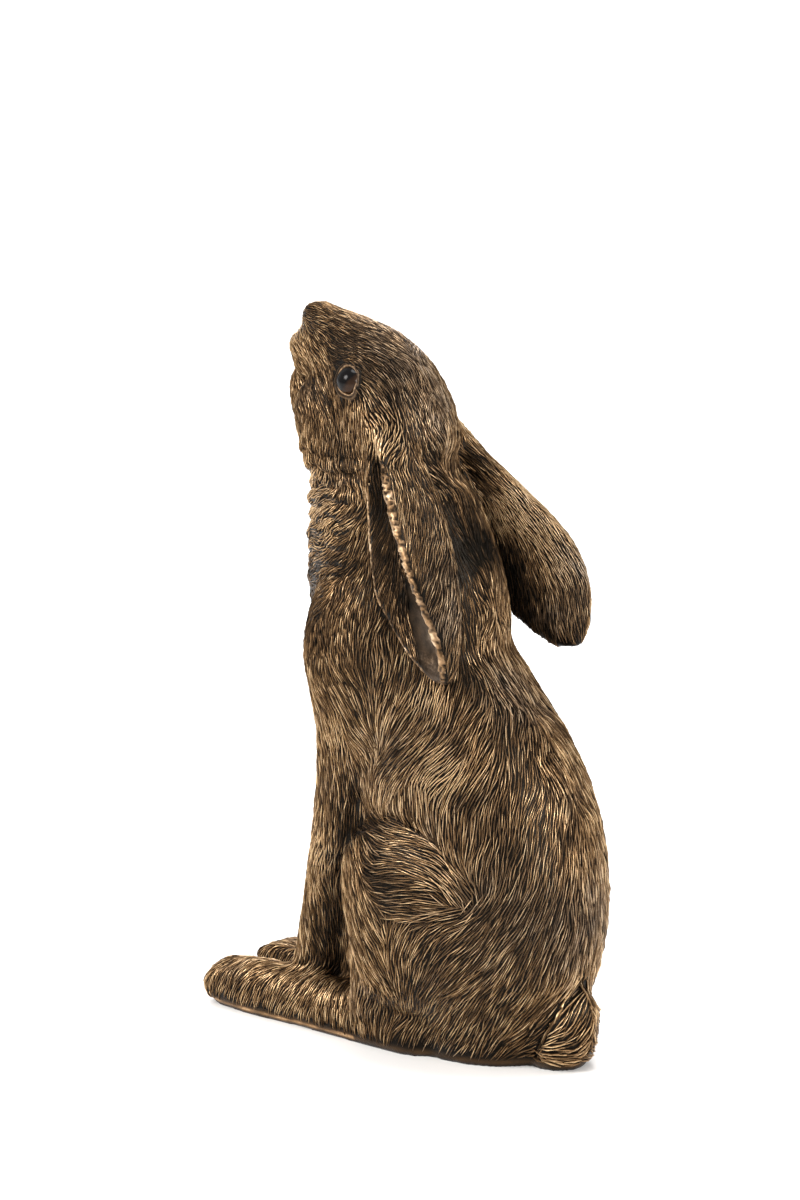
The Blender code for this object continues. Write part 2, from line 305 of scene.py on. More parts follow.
def makeBody():
    body = frame["nodes"]["hare_body"].copy()
    body.data = body.data.copy()
    body.name = "cast_hare"
    body.parent = None
    body.data.materials.clear()
    bpy.context.scene.collection.objects.link(body)
    pickNone()
    body.select_set(True)
    bpy.context.view_layer.objects.active = body
    bpy.ops.object.mode_set(mode="EDIT")
    bpy.ops.mesh.select_all(action="SELECT")
    bpy.ops.mesh.remove_doubles(threshold=0.01 * mm)
    bpy.ops.object.mode_set(mode="OBJECT")
    skin = body.modifiers.new("skin", "REMESH")
    skin.mode = "VOXEL"
    skin.voxel_size = bodyShape["voxel"]
    soften = body.modifiers.new("soften", "SMOOTH")
    soften.factor = 0.5
    soften.iterations = bodyShape["softening"]
    applyAll(body)

    spots, away = pointsOf(body), normalsOf(body)
    sunk = np.zeros(len(spots))
    for line, wide, deep in creaseLines(surfaceTree(body)):
        sunk = np.maximum(sunk, creaseShare(spots, line, wide) * deep)
    lip, shown = throatWave(spots)
    folds = (lip - throatFolds["sunk"]) * shown * throatFolds["lift"]
    spots += away * (folds - sunk)[:, None]
    # the underside stays flat on the ground
    low = spots[:, 2] < bodyShape["flatBelow"]
    spots[low, 2] = 0.0
    body.data.vertices.foreach_set("co", spots.ravel())
    body.data.update()
    pickNone()
    body.select_set(True)
    bpy.ops.object.shade_smooth()
    body.data.materials.append(castBronze)
    return body


body = makeBody()
print("body:", len(body.data.polygons), "faces")
bodyPoints = pointsOf(body)
bodyNormals = normalsOf(body)
skinTree = surfaceTree(body)

# the eyes: set-in glass balls in raised lids, drawn to a corner behind and below
eyeLook = {
    "slices": 64, "rings": 40, "roughness": 0.17, "gloss": 0.15, "reflectionScale": 160,
    "black": (0.003, 0.0025, 0.0025), "brown": (0.075, 0.034, 0.014), "reflectionFrom": (0, 0.8, -0.6),
}
lidLook = {
    "slices": 72, "rings": 24, "thick": 1.7 * mm, "high": 6.4 * mm, "wide": 5.2 * mm,
    "corner": 1.2 * mm, "cornerAt": -1.2, "proud": 0.3 * mm, "ripple": 0.3 * mm, "wrinkle": 0.3 * mm,
}


def glassFinish():
    material, nodes, links = newMaterial("dark glass eye")
    shader = nodes["Principled BSDF"]
    place = nodes.new("ShaderNodeTexCoord").outputs["Object"]
    # painted reflection: brown on the glass behind and below
    paintedReflection = nodes.new("ShaderNodeAttribute")
    paintedReflection.attribute_name = "paintedReflection"
    cloudy = noiseAt(nodes, links, place, eyeLook["reflectionScale"], 3)
    brownReflection = mathNode(nodes, links, "MULTIPLY", cloudy, paintedReflection.outputs["Fac"])
    ramp = nodes.new("ShaderNodeValToRGB")
    ramp.color_ramp.elements[0].position = 0.08
    ramp.color_ramp.elements[0].color = (*eyeLook["black"], 1)
    ramp.color_ramp.elements[1].position = 0.6
    ramp.color_ramp.elements[1].color = (*eyeLook["brown"], 1)
    links.new(brownReflection, ramp.inputs["Fac"])
    links.new(ramp.outputs["Color"], shader.inputs["Base Color"])
    shader.inputs["Roughness"].default_value = eyeLook["roughness"]
    shader.inputs["Specular IOR Level"].default_value = eyeLook["gloss"]
    return material


def makeEye(side):
    low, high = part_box(side + "_eye")
    middle = (low + high) / 2
    radius = max(high - low) / 2
    pickNone()
    bpy.ops.mesh.primitive_uv_sphere_add(
        segments=eyeLook["slices"],
        ring_count=eyeLook["rings"],
        radius=radius,
        location=middle,
        rotation=(0, math.pi / 2, 0),
    )
    eye = bpy.context.object
    eye.name = side + "_glass_eye"
    applyAll(eye)
    bpy.ops.object.shade_smooth()
    eye.data.materials.append(eyeGlass)
    # a painted brown reflection on the glass behind and below
    setTone(eye, "paintedReflection", np.clip(normalsOf(eye) @ unit(np.array(eyeLook["reflectionFrom"])), 0, 1) ** 0.7)
    handIn(eye, "dark_glass", side + "_eye")
    return np.array(middle), radius


def lookOut(middle, radius):
    # the head's skin round the eye says which way it looks and how far out the lid stands
    away = bodyPoints - middle
    reach = np.linalg.norm(away, axis=1)
    near = (reach > radius + 1.5 * mm) & (reach < radius + 6 * mm)
    outward = np.array(Vector(bodyNormals[near].mean(axis=0)).normalized())
    return outward, float(np.dot(away[near], outward).mean())


def makeLid(side, middle, outward, rise):
    pickNone()
    bpy.ops.mesh.primitive_torus_add(
        major_segments=lidLook["slices"],
        minor_segments=lidLook["rings"],
        major_radius=1,
        minor_radius=lidLook["thick"],
    )
    lid = bpy.context.object
    lid.name = side + "_eyelid"
    upward = unit(np.array((0, -0.25, 1)) - outward * outward[[1, 2]].dot((-0.25, 1)))
    across = np.cross(upward, outward)
    across *= np.sign(across[1])
    spots = pointsOf(lid)
    turn = np.arctan2(spots[:, 1], spots[:, 0])
    tube = np.hypot(spots[:, 0], spots[:, 1]) - 1
    fromCorner = turn - lidLook["cornerAt"]
    corner = np.exp(-((np.arctan2(np.sin(fromCorner), np.cos(fromCorner)) / 0.4) ** 2)) * lidLook["corner"]
    ripple = softNoise(spots, 0.12) * lidLook["ripple"]
    # two thin wrinkles run round the lid
    outer = tube / lidLook["thick"]
    wrinkle = np.exp(-(((outer + 0.35) / 0.25) ** 2)) + 0.7 * np.exp(-(((outer - 0.6) / 0.25) ** 2))
    wrinkle *= spots[:, 2] > 0
    ripple += wrinkle * lidLook["wrinkle"]
    spots = (
        middle
        + across * (np.cos(turn) * (lidLook["wide"] + corner + tube))[:, None]
        + upward * (np.sin(turn) * (lidLook["high"] + corner + tube))[:, None]
        + outward * (rise + lidLook["proud"] + spots[:, 2] + ripple)[:, None]
    )
    lid.data.vertices.foreach_set("co", spots.ravel())
    bpy.ops.object.mode_set(mode="EDIT")
    bpy.ops.mesh.select_all(action="SELECT")
    bpy.ops.mesh.normals_make_consistent(inside=False)
    bpy.ops.object.mode_set(mode="OBJECT")
    bpy.ops.object.shade_smooth()
    lid.data.materials.append(castBronze)
    setTone(lid, "ridge", np.clip(0.16 + 0.6 * wrinkle, 0.05, 0.8))
    setTone(lid, "wear", np.full(len(spots), 0.5))
    handIn(lid, "aged_bronze")


eyeGlass = glassFinish()
eyeSpots = []
for side in ("left", "right"):
    middle, radius = makeEye(side)
    makeLid(side, middle, *lookOut(middle, radius))
    eyeSpots.append((middle, radius))
print("eyes set in their lids")

# the ears: a raised rim along both edges, rubbed bright on the outer one
earRims = {
    "outer": {"thick": 2.2 * mm, "sunk": 0.05, "bright": 0.83, "line": ((27.1, 11.0, 244.4),
        (29.9, 15.0, 237.9), (37.7, 26.3, 224.2), (43.6, 38.2, 209.6), (46.0, 48.9, 193.9),
        (45.4, 56.6, 178.4), (42.5, 55.6, 165.3), (40.4, 50.0, 161.0))},
    "front": {"thick": 1.0 * mm, "sunk": 0.0, "bright": 0.92, "line": ((25.5, 1.2, 233.0),
        (26.8, 3.3, 221.5), (29.1, 6.9, 203.7), (32.1, 14.0, 187.9),
        (36.3, 31.8, 171.3), (39.8, 47.9, 162.3))},
}
rimLook = {
    "steps": 150, "endSteps": 30, "endShare": 0.35, "rootShare": 1.4, "tipShare": 0.8, "flatter": 0.45,
    "lumpSize": 4 * mm, "lumps": 0.2, "pitSize": 1.3 * mm, "pits": 0.6,
}
rimLines = []


def makeRim(name, side, rim):
    line = smoothLine(rim["line"], rimLook["steps"]) * mm * (side, 1, 1)
    spots = []
    for spot in line:
        hit, away = skinTree.find_nearest(spot)[:2]
        spots.append(hit - away * rim["thick"] * rim["sunk"])
    rimLines.append((np.array(spots), rim["thick"]))
    pickNone()
    bpy.ops.curve.primitive_bezier_curve_add()
    wire = bpy.context.object
    wire.data.splines.clear()
    spline = wire.data.splines.new("POLY")
    spline.points.add(len(spots) - 1)
    last = len(spots) - 1
    for index, (point, spot) in enumerate(zip(spline.points, spots)):
        point.co = (*spot, 1)
        whole = min(1, min(index, last - index) / rimLook["endSteps"])
        ends = rimLook["endShare"] + (1 - rimLook["endShare"]) * whole
        taper = (rimLook["rootShare"] - rimLook["tipShare"]) * index / last
        point.radius = ends * (rimLook["rootShare"] - taper)
    wire.data.dimensions = "3D"
    wire.data.bevel_depth = rim["thick"]
    wire.data.bevel_resolution = 3
    wire.data.use_fill_caps = True
    bpy.ops.object.convert(target="MESH")
    edge = bpy.context.object
    edge.name = name
    applyAll(edge)
    edge.data.materials.clear()
    edge.data.materials.append(castBronze)
    bumps = pointsOf(edge)
    lumps, pits = softNoise(bumps, rimLook["lumpSize"]), softNoise(bumps, rimLook["pitSize"], 9)
    edge.data.update()
    # the rim lies on the ear as a low, pitted band
    skin, facing = onSkin(skinTree, bumps)
    rise = ((bumps - skin) * facing).sum(axis=1)
    crest = np.clip(rise / rim["thick"], 0, 1)
    bumps -= facing * (np.maximum(rise, 0) * rimLook["flatter"])[:, None]
    uneven = lumps * rimLook["lumps"] + np.minimum(pits, 0.1) * rimLook["pits"]
    bumps += normalsOf(edge) * (uneven * rim["thick"])[:, None]
    edge.data.vertices.foreach_set("co", bumps.ravel())
    pickNone()
    edge.select_set(True)
    bpy.context.view_layer.objects.active = edge
    bpy.ops.object.shade_smooth()
    tone = rim["bright"] * (0.55 + 0.45 * crest) + 0.35 * lumps + 1.6 * np.minimum(0, pits + 0.1)
    setTone(edge, "ridge", np.clip(tone, 0.15, 1))
    setTone(edge, "wear", np.clip(0.3 + 0.6 * lumps, 0, 1))
    handIn(edge, "aged_bronze")


for sideName, side in (("left", 1), ("right", -1)):
    for edgeName, rim in earRims.items():
        makeRim(sideName + "_ear_" + edgeName + "_rim", side, rim)
print("ear rims laid")

# the fur: how long, wide and high each zone's hairs lie in mm, how wavy they are,
# and combing marks on the left side: place in mm, then the way the hair lies
furZones = {
    "head": {
        "long": 5.2, "wide": 0.28, "high": 0.44, "wavy": 0.6,
        "marks": (
            (7, -41, 295, 0.1, 1, -0.1), (8, -26, 294, 0, 1, -0.2), (8, -10, 290, -0.2, 0.9, -0.3),
            (3, 2, 285, -0.6, 0.6, -0.5), (-1, 11, 276, -0.5, 0.4, -0.8), (-3, 17, 264, -0.3, 0.3, -0.9),
            (11, -48, 283, 0.4, 0.7, -0.7), (14, -34, 286, 0.3, 0.8, -0.5), (16, -36, 275, 0.3, 0.6, -0.7),
            (21, -39, 263, 0.4, 0.6, -0.7), (22, -26, 265, 0.1, 0.6, -0.8), (23, -12, 266, -0.6, 0, -0.8),
            (19, -4, 277, -0.2, 0.9, -0.4), (17, 4, 272, 0, 0.7, -0.7), (11, 12, 269, 0, 0.5, -0.8),
            (14, -21, 287, 0, 1, -0.1), (24, -32, 252, 0, 0.1, -1), (24, -18, 250, 0.1, 0.1, -1),
            (23, -5, 252, -0.1, 0.1, -1), (21, 7, 257, 0.1, 0.3, -1), (14, 15, 257, 0, 0.4, -0.9),
            (4, 21, 252, -0.4, 0.2, -0.9), (0, -56, 268, 0, 0.2, -1), (0, -55, 284, 0, 0, -1),
            (0, -50, 297, 0, 0.9, -0.2),
        ),
    },
    "throat": {
        "long": 6, "wide": 0.36, "high": 0.52, "wavy": 1.9,
        "marks": (
            (24, -19, 236, -0.1, 0.1, -1), (24, -7, 235, 0.3, 0.2, -0.9), (20, -32, 222, -0.4, -0.7, -0.5),
            (24, -22, 219, -0.2, -0.8, -0.5), (26, -10, 218, 0, -0.5, -0.8), (22, -30, 208, -0.5, -0.8, -0.3),
            (27, -17, 201, -0.1, -0.8, -0.6), (24, -27, 192, -0.4, -0.8, -0.4), (33, -19, 183, 0, -0.6, -0.8),
            (34, -5, 187, 0.3, -0.3, -0.9), (34, 5, 184, 0.3, 0, -1), (37, -14, 169, 0.2, 0.3, -1),
            (38, 1, 170, 0.1, 0.2, -1), (37, -18, 160, 0.1, 0.3, -0.9), (0, -47, 222, 0, -0.2, -1),
            (0, -46, 200, 0, -0.1, -1), (0, -50, 240, 0, -0.1, -1),
        ),
    },
    "ear_backs": {
        "long": 6.2, "wide": 0.29, "high": 0.4, "wavy": 0.4,
        "marks": (
            (29, 9, 213, 0.2, -0.4, -0.9), (34, 21, 191, 0.2, -0.1, -1), (37, 34, 177, 0.2, 0.5, -0.8),
            (36, 27, 222, 0.1, -0.5, -0.9), (42, 40, 206, 0, -0.5, -0.9), (45, 50, 188, 0, -0.5, -0.9),
            (29, 22, 238, 0.4, 0.6, -0.7), (35, 35, 226, 0.5, 0.4, -0.7), (40, 48, 213, 0.6, 0.2, -0.8),
            (46, 52, 198, 0.2, -0.3, -0.9), (46, 58, 183, 0.1, -0.1, -1), (40, 58, 202, 0.4, 0.3, -0.9),
        ),
    },
    "ear_hollows": {
        "long": 6.5, "wide": 0.29, "high": 0.42, "wavy": 0.4,
        "marks": (
            (-16, 23, 244, -0.3, 0.8, -0.5), (-20, 33, 232, -0.4, 0.7, -0.7), (-28, 43, 216, -0.4, 0.5, -0.8),
            (-34, 52, 199, -0.3, 0.4, -0.9), (-38, 59, 180, -0.1, 0.1, -1), (-31, 35, 198, -0.2, 0.6, -0.8),
            (-26, 27, 215, -0.3, 0.4, -0.9), (-35, 46, 174, -0.2, 0.6, -0.8),
        ),
    },
    "ear_roots": {
        "long": 5, "wide": 0.6, "high": 0.9, "wavy": 4,
        "marks": (
            (26, 8, 250, 0.1, 0.1, -1), (24, 4, 258, 0.2, 0.2, -1), (25, 12, 254, 0.2, 0.3, -0.9),
            (21, 10, 262, 0.1, 0.4, -0.9),
        ),
    },
    "neck": {
        "long": 7.5, "wide": 0.35, "high": 0.52, "wavy": 0.8,
        "marks": (
            (-8, 20, 238, 0.4, 0.7, -0.6), (0, 31, 228, 0.1, 0.5, -0.9), (6, 40, 210, -0.1, 0.5, -0.9),
            (7, 46, 190, -0.3, 0.2, -0.9), (-2, 48, 178, -0.6, -0.1, -0.8), (14, 43, 174, -0.2, 0.1, -1),
        ),
    },
    "back": {
        "long": 9, "wide": 0.38, "high": 0.56, "wavy": 0.6,
        "marks": (
            (-2, 54, 160, 0.2, 0.7, -0.7), (-6, 63, 149, 0.1, 0.7, -0.7), (-3, 81, 127, 0.1, 0.6, -0.8),
            (-4, 93, 100, -0.1, 0.2, -1), (-8, 96, 70, 0, 0, -1), (-5, 95, 45, 0, -0.2, -1),
            (-5, 93, 98, -0.2, 0.2, -1), (0, 60, 153, 0, 0.6, -0.8), (0, 82, 125, 0, 0.5, -0.9),
        ),
    },
    "flank": {
        "long": 9.5, "wide": 0.39, "high": 0.6, "wavy": 0.5,
        "marks": (
            (25, 43, 154, 0.5, 0.1, -0.9), (23, 56, 144, 0.6, -0.1, -0.8), (10, 67, 143, 0.7, 0.2, -0.7),
            (4, 78, 132, 0.5, 0.4, -0.7), (35, 29, 143, 0.3, -0.4, -0.9), (37, 31, 130, 0.2, -0.7, -0.7),
            (36, 46, 124, 0.3, -0.6, -0.7), (34, 57, 116, 0.3, -0.4, -0.9), (38, 37, 109, 0.1, 0.2, -1),
            (36, 59, 101, 0.1, 0.1, -1), (29, 73, 108, 0.2, 0, -1), (33, 73, 91, 0.2, -0.1, -1),
            (19, 82, 113, 0.5, 0, -0.9), (23, 85, 91, 0.3, -0.1, -1), (7, 91, 106, 0.5, 0.3, -0.8),
            (11, 95, 78, 0.2, 0, -1), (15, 93, 56, 0.3, -0.1, -1), (3, 95, 47, 0, -0.2, -1),
        ),
    },
    "shoulder": {
        "long": 8, "wide": 0.36, "high": 0.52, "wavy": 0.8,
        "marks": (
            (39, 2, 154, -0.1, 0.6, -0.8), (39, -8, 142, 0, 0.6, -0.8), (38, -6, 131, -0.1, 0.2, -1),
            (35, -14, 116, -0.1, -0.1, -1), (35, -4, 115, -0.2, 0, -1), (36, 7, 129, 0, 0.7, -0.8),
            (34, 20, 154, 0.3, -0.2, -0.9), (38, 22, 121, 0, -0.6, -0.8), (0, -44, 172, 0, 0.2, -1),
            (0, -38, 145, 0, 0.4, -1), (8, -30, 118, 0, 0.2, -1),
        ),
    },
    "foreleg": {
        "long": 7.5, "wide": 0.35, "high": 0.52, "wavy": 0.6,
        "marks": (
            (33, -13, 98, -0.1, -0.1, -1), (29, -20, 78, -0.3, -0.3, -0.9), (26, -30, 58, 0, 0.2, -1),
            (24, -34, 38, 0, 0.2, -1), (26, -15, 73, -0.2, -0.4, -0.9), (12, -38, 60, 0, -0.2, -1),
            (2, -10, 60, 0, 0, -1), (14, -46, 25, 0, -0.3, -1),
        ),
    },
    "thigh": {
        "long": 9, "wide": 0.38, "high": 0.58, "wavy": 0.5,
        "marks": (
            (38, 14, 93, 0.3, 1, -0.1), (40, 29, 91, -0.1, 1, 0), (40, 43, 89, -0.1, 1, -0.1),
            (39, 55, 82, -0.2, 0.8, -0.5), (38, 60, 77, -0.1, 0.6, -0.8), (47, 29, 80, -0.1, 1, 0.3),
            (48, 44, 71, -0.2, 1, 0.1), (42, 13, 87, 0.5, 0.6, -0.6), (47, 14, 71, 0.3, 0.4, -0.9),
            (50, 18, 60, 0.1, 0.5, -0.8), (51, 25, 56, 0.1, 0.7, -0.7), (50, 20, 49, 0, 0.5, -0.9),
            (49, 26, 39, -0.1, 0.5, -0.8), (41, 18, 23, -0.6, -0.4, -0.7), (38, 27, 18, -0.6, -0.5, -0.6),
            (48, 38, 41, -0.2, -0.1, -1), (50, 40, 53, 0, -0.3, -0.9), (47, 49, 48, 0.1, -0.5, -0.9),
            (43, 59, 56, 0.3, -0.6, -0.7), (37, 67, 67, 0.3, -0.7, -0.7), (31, 78, 62, 0.3, -0.5, -0.8),
            (25, 86, 68, 0.3, -0.3, -0.9), (42, 60, 66, 0.5, -0.8, -0.4), (44, 52, 37, 0, -0.6, -0.8),
            (39, 62, 37, 0.2, -0.7, -0.7), (33, 72, 44, 0.2, -0.6, -0.8), (26, 82, 45, 0.2, -0.4, -0.9),
            (34, 45, 15, -0.4, -0.6, -0.7), (31, 63, 18, 0, -0.5, -0.8), (26, 76, 26, 0.1, -0.5, -0.9),
        ),
    },
    "tail": {
        "long": 10.5, "wide": 0.52, "high": 0.85, "wavy": 1.1,
        "marks": (
            (15, 84, 18, -0.3, 0.7, 0.7), (10, 90, 30, -0.4, 0.4, 0.8), (2, 93, 34, -0.7, 0.1, 0.7),
            (13, 92, 14, -0.9, 0.4, 0.3), (4, 97, 19, -0.6, 0.3, 0.8), (13, 89, 8, -0.9, 0.5, 0),
            (2, 98, 26, -0.4, -0.1, 0.9),
        ),
    },
    "foot": {
        "long": 7, "wide": 0.36, "high": 0.52, "wavy": 0.6,
        "marks": (
            (35, -41, 13, 0.4, -0.3, -0.9), (36, -58, 10, 0.1, -0.4, -0.9), (34, -22, 14, 0.3, -0.2, -0.9),
            (34, -8, 15, 0.5, 0.2, -0.8), (36, 0, 9, -0.1, 0, -1), (35, -68, 10, 0.1, -0.3, -0.9),
            (35, -75, 12, 0, -0.2, -1), (31, -51, 19, 0.5, -0.7, -0.5), (29, -36, 19, 0.9, -0.3, -0.3),
            (29, -64, 20, 0.9, -0.3, -0.4), (30, -17, 19, 0.7, 0, -0.7), (15, -45, 8, -0.3, -0.3, -0.9),
            (15, -60, 8, -0.2, -0.3, -0.9), (14, -76, 8, 0, -0.4, -0.9), (22, -62, 18, 0, -0.9, -0.3),
            (22, -78, 14, 0, -0.9, -0.4),
        ),
    },
}
furLook = {
    "candidates": 4.5, "scatter": 0.55, "apart": 0.38, "beside": 2.3,
    "longSpread": (0.7, 1.3), "wideSpread": (0.75, 1.25), "highSpread": (0.8, 1.4),
    "stray": 0.07, "wander": 0.38, "wanderSize": 10 * mm,
    "lift": 0.15, "lockLift": 0.45, "lockSize": 5 * mm, "groundGap": 2.0 * mm,
}
# the fur's tone, with painted light from the sky each hair sees and painted shade under the throat folds
furTone = {
    "base": 0.38, "light": 0.49, "locks": 0.11, "patches": 0.08, "patchSize": 15 * mm, "spread": 0.2,
    "foldShade": 0.35, "darkest": 0.1, "brightest": 1.15, "root": 0.65, "shadeReach": 26 * mm,
}

# places in mm, reach in mm and strength: where handling has rubbed the fur gold, with painted highlights
# there, where painted shade darkens it, where it has worn grey, and where the left ear is smooth without hair
goldAndHighlightSpots = (
    (26, 9, 250, 8, 0.4), (20, 8, 259, 8, 0.25), (23, -18, 248, 12, 0.12), (36, 46, 122, 13, 0.5),
    (30, 38, 152, 9, 0.5), (37, -6, 130, 12, 0.25), (11, -51, 283, 9, 0.25), (35, -60, 12, 20, 0.12),
    (35, -28, 6, 20, 0.15), (40, 48, 84, 12, 0.25), (35, 30, 60, 14, 0.1), (0, 24, 250, 9, 0.1),
    (22, -30, 222, 17, 0.75), (24, -22, 203, 12, 0.3), (36, 40, 20, 20, 0.18), (30, -18, 72, 16, 0.28),
    (10, 94, 20, 12, 0.12),
)
# painted light on the right ear's shaded hollow
rightEarPaintedLightSpots = ((-24, 40, 222, 14, 0.8), (-32, 50, 200, 12, 0.4), (-22, 27, 214, 12, 1.2))
# painted shade: the fur darker in the creases, the hollows and under the ears
paintedShadeSpots = (
    (25, 5, 243, 5, 0.4), (27, 8, 234, 6, 0.5), (30, 11, 222, 7, 0.55), (32, 17, 207, 7.5, 0.5),
    (35, 28, 192, 7, 0.35), (8, 42, 212, 14, 0.6), (9, 37, 236, 12, 0.3), (15, 26, 256, 6, 0.3),
    (24, 30, 190, 13, 0.4), (24, -4, 200, 14, 0.2), (14, -38, 174, 22, 0.5), (14, -14, 284, 12, 0.25),
    (30, -6, 85, 12, 0.12), (14, 74, 8, 10, 0.2), (36, 6, 90, 8, 0.2), (46, 30, 76, 13, 0.14),
    (22, -28, 262, 15, 0.18), (37, 0, 140, 20, 0.08), (42, 38, 200, 17, 0.1), (33, -16, 170, 16, 0.16),
)
wornSpots = (
    (3, -4, 287, 20, 0.35), (-3, 15, 267, 16, 0.3), (-33, 54, 207, 14, 0.2), (-27, 43, 225, 12, 0.2),
    (41, 60, 200, 12, 0.35), (41, 62, 186, 12, 0.35), (8, 97, 60, 22, 0.4), (4, 60, 152, 16, 0.3),
    (33, 20, 120, 22, 0.3), (39, 47, 175, 9, 0.8), (30, 75, 75, 22, 0.3), (40, 30, 70, 16, 0.25),
)
baldSpots = (
    (40, 51, 167, 7), (39, 47, 174, 8.2), (37.5, 41, 181, 7), (36, 36, 188, 5.8), (35, 31.5, 196, 4.5),
    (34, 27, 203, 3),
)


def bothSides(rows):
    rows = np.array(rows, float)
    flipped = rows.copy()
    flipped[:, 0] *= -1
    return np.vstack([rows, flipped])


def spotShare(places, spots):
    total = np.zeros(len(places))
    for x, y, z, reach, strength in spots:
        gone = ((places - np.array((x, y, z)) * mm) ** 2).sum(axis=1)
        total += strength * np.exp(-gone / (reach * mm) ** 2)
    return total


zoneNames = list(furZones)
marks, markSizes, markZones = [], [], []
for index, zone in enumerate(furZones.values()):
    rows = np.array(zone["marks"], float)
    for row in np.vstack([rows, rows * (-1, 1, 1, -1, 1, 1)]):
        marks.append(row)
        markSizes.append((zone["long"], zone["wide"], zone["high"], zone["wavy"]))
        markZones.append(index)
marks, markSizes, markZones = np.array(marks), np.array(markSizes), np.array(markZones)
markPlaces = marks[:, :3] * mm
markWays = unit(marks[:, 3:])
markNormals = onSkin(skinTree, markPlaces)[1]


def combed(places, normals):
    # the way the hair lies at these places, with its sizes and its nearest zone
    ways, sizes, zones = [], [], []
    for start in range(0, len(places), 8000):
        some, facing = places[start : start + 8000], normals[start : start + 8000]
        gap = ((some[:, None, :] - markPlaces[None]) ** 2).sum(axis=2) / mm**2
        agree = np.clip((facing @ markNormals.T + 0.25) / 1.25, 0.02, 1) ** 2
        weight = agree / (gap + 12) ** 1.7
        best = weight.argmax(axis=1)
        turn = np.sign(markWays[best] @ markWays.T) * weight
        way = turn @ markWays
        ways.append(way - facing * (way * facing).sum(axis=1, keepdims=True))
        sizes.append(weight @ markSizes / weight.sum(axis=1, keepdims=True))
        zones.append(markZones[best])
    return unit(np.vstack(ways)), np.vstack(sizes), np.concatenate(zones)


def hairShape():
    # one lock of hair: a three-sided ball, its ridge up, later drawn out along the skin
    pickNone()
    bpy.ops.mesh.primitive_uv_sphere_add(segments=3, ring_count=4, radius=1)
    ball = bpy.context.object
    spots = pointsOf(ball)
    ring = np.abs(spots[:, 2]) < 0.1
    turn = math.atan2(*spots[ring][0][[1, 0]])
    angle = np.arctan2(spots[:, 1], spots[:, 0]) - turn + math.pi / 2
    spread = np.hypot(spots[:, 0], spots[:, 1]) ** 0.8
    across, up = spread * np.cos(angle), spread * np.sin(angle)
    along = (spots[:, 2] + 1) / 2
    faces = [tuple(face.vertices) for face in ball.data.polygons]
    bpy.data.objects.remove(ball)
    return across, up, along, faces


def candidatePlaces():
    # places spread evenly over the skin, away from the eyes, the rims, the creases and the ground
    count = len(body.data.polygons)
    middles, areas = np.zeros(count * 3), np.zeros(count)
    body.data.polygons.foreach_get("center", middles)
    body.data.polygons.foreach_get("area", areas)
    share = furLook["candidates"] * areas / areas.mean()
    times = np.floor(share + random.random(count)).astype(int)
    spots = np.repeat(middles.reshape(-1, 3), times, axis=0)
    spots = spots + random.uniform(-furLook["scatter"], furLook["scatter"], spots.shape) * bodyShape["voxel"]
    spots, facing = onSkin(skinTree, spots)
    fit = (spots[:, 2] > furLook["groundGap"]) & ~((facing[:, 2] < -0.7) & (spots[:, 2] < 12 * mm))
    for x, y, z, reach in baldSpots:
        fit &= ((spots - np.array((x, y, z)) * mm) ** 2).sum(axis=1) > (reach * mm) ** 2
    for middle, radius in eyeSpots:
        fit &= np.linalg.norm(spots - middle, axis=1) > radius + 1.5 * mm
    for line, thick in rimLines:
        fit &= creaseShare(spots, line, thick * 0.95) < 0.4
    for line, wide, deep in creaseLines(skinTree):
        fit &= creaseShare(spots, line, wide) < 0.75
    return spots[fit], facing[fit]


def sownRoots():
    # roots picked one by one: none starts on a neighbour, near along the hair or beside it
    places, facing = candidatePlaces()
    ways, sizes, zones = combed(places, facing)
    asides = np.cross(facing, ways)
    ahead = sizes[:, 0] * furLook["apart"] * mm
    beside = sizes[:, 1] * furLook["beside"] * mm
    tree = KDTree(len(places))
    for index, place in enumerate(places):
        tree.insert(place, index)
    tree.balance()
    free = np.ones(len(places), bool)
    kept = []
    for index in random.permutation(len(places)):
        if not free[index]:
            continue
        kept.append(index)
        around = np.array([found[1] for found in tree.find_range(places[index], ahead[index])])
        away = places[around] - places[index]
        along = (away @ ways[index]) / ahead[index]
        aside = (away @ asides[index]) / beside[index]
        same = facing[around] @ facing[index] > 0
        free[around[(along**2 + aside**2 < 1) & same]] = False
    return places[kept], facing[kept], ways[kept], sizes[kept], zones[kept]


def openness(places, facing):
    # how much of the sky each place sees: the patina stays dark in the hollows, and painted shade darkens
    # them further
    level = unit(np.cross(facing, (0.31, 0.17, 0.93)))
    aside = np.cross(facing, level)
    seen = np.zeros(len(places))
    tilts = ((0.35, 3, 0.0), (1.0, 5, 0.4))
    for tilt, count, shift in tilts:
        for step in range(count):
            turn = shift + step * 2 * math.pi / count
            look = facing * math.cos(tilt) + (
                level * math.cos(turn) + aside * math.sin(turn)
            ) * math.sin(tilt)
            for index, (place, way) in enumerate(zip(places + facing * 1.2 * mm, look)):
                seen[index] += skinTree.ray_cast(place, way, furTone["shadeReach"])[0] is None
    return seen / sum(count for tilt, count, shift in tilts)


def traceHairs(places, facing, way, sizes, long, stops):
    # each hair is traced over the skin in short steps, both ways from its middle
    stray = random.normal(0, furLook["stray"], len(places))
    middle = stops.index(0.5)
    line, turned = {middle: places}, {middle: facing}
    for onward in (1, -1):
        spot, normal, ahead = places, facing, way
        place = middle + onward
        while 0 <= place < len(stops):
            swing = stray + sizes[:, 3] * furLook["wander"] * softNoise(spot, furLook["wanderSize"])
            side = np.cross(normal, ahead)
            step = unit(ahead * np.cos(swing)[:, None] + side * np.sin(swing)[:, None])
            gone = onward * long * abs(stops[place] - stops[place - onward])
            spot, normal = onSkin(skinTree, spot + step * gone[:, None])
            ahead = combed(spot, normal)[0]
            ahead *= np.sign((ahead * step).sum(axis=1))[:, None]
            line[place], turned[place] = spot, normal
            place += onward
    line = np.array([line[place] for place in range(len(stops))])
    turned = np.array([turned[place] for place in range(len(stops))])
    tangents = unit(np.gradient(line, axis=0))
    return line, turned, unit(np.cross(turned, tangents))


